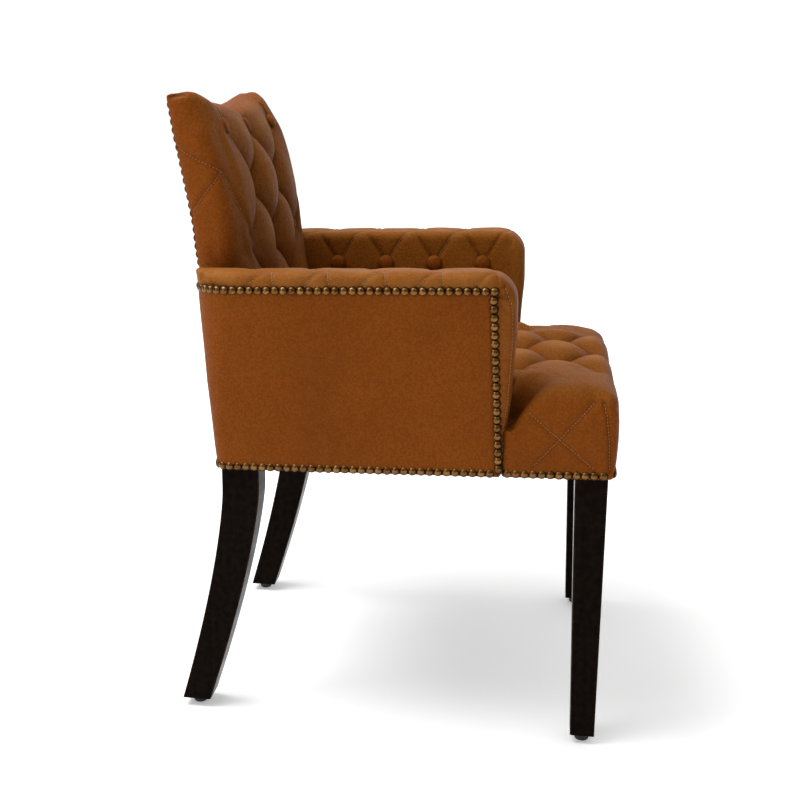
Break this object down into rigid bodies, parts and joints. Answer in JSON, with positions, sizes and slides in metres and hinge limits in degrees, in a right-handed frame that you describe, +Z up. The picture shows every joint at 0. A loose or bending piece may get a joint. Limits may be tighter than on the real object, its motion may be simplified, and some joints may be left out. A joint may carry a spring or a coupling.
{
  "type": "upholstered armchair",
  "caption": "Armchair in tan leather with tufted seat, back and arms, nail-head trim, tapered front legs and swept rear legs.",
  "frame": {"origin": "on the floor under the middle of the chair's box", "axes": "+Z up, the chair faces -Y, +X is the sitter's left"},
  "size_m": [0.5674, 0.6253, 0.9],
  "materials": {
    "leather": "semi-matt, fine grain, tan brown",
    "leg_lacquer": "espresso lacquer, satin gloss",
    "frame_wood": "raw beech",
    "foam": "open cell foam",
    "webbing": "elastic webbing",
    "dust_cloth": "black nonwoven cambric",
    "nails": "antique brass, darkened rims",
    "steel": "zinc plated",
    "glide": "matt black"
  },
  "bodies": {
    "root": {"front_leg_left": "leg_lacquer", "front_leg_right": "leg_lacquer", "rear_leg_left": "leg_lacquer", "rear_leg_right": "leg_lacquer", "front_glide_left": "glide", "front_glide_right": "glide", "rear_glide_left": "glide", "rear_glide_right": "glide", "front_leg_bolt_left": "steel", "front_leg_bolt_right": "steel", "rear_leg_bolt_left": "steel", "rear_leg_bolt_right": "steel", "front_rail": "frame_wood", "rear_rail": "frame_wood", "side_rail_left": "frame_wood", "side_rail_right": "frame_wood", "front_corner_block_left": "frame_wood", "front_corner_block_right": "frame_wood", "rear_corner_block_left": "frame_wood", "rear_corner_block_right": "frame_wood", "arm_front_post_left": "frame_wood", "arm_front_post_right": "frame_wood", "arm_rear_post_left": "frame_wood", "arm_rear_post_right": "frame_wood", "arm_rail_left": "frame_wood", "arm_rail_right": "frame_wood", "back_post_left": "frame_wood", "back_post_right": "frame_wood", "back_top_rail": "frame_wood", "back_lower_rail": "frame_wood", "seat_strap_1": "webbing", "seat_strap_2": "webbing", "seat_strap_3": "webbing", "seat_strap_4": "webbing", "back_strap_1": "webbing", "back_strap_2": "webbing", "back_strap_3": "webbing", "seat_foam": "foam", "back_foam": "foam", "arm_foam_left": "foam", "arm_foam_right": "foam", "seat_cover": "leather", "back_cover": "leather", "outside_back_cover": "leather", "arm_band_left": "leather", "arm_band_right": "leather", "inside_arm_cover_left": "leather", "inside_arm_cover_right": "leather", "outside_arm_cover_left": "leather", "outside_arm_cover_right": "leather", "dust_cover": "dust_cloth", "arm_nails_left": "nails", "arm_nails_right": "nails", "side_nails_left": "nails", "side_nails_right": "nails", "seat_side_nails_left": "nails", "seat_side_nails_right": "nails", "back_nails_left": "nails", "back_nails_right": "nails", "seat_front_nails": "nails"}
  },
  "joints": []
}
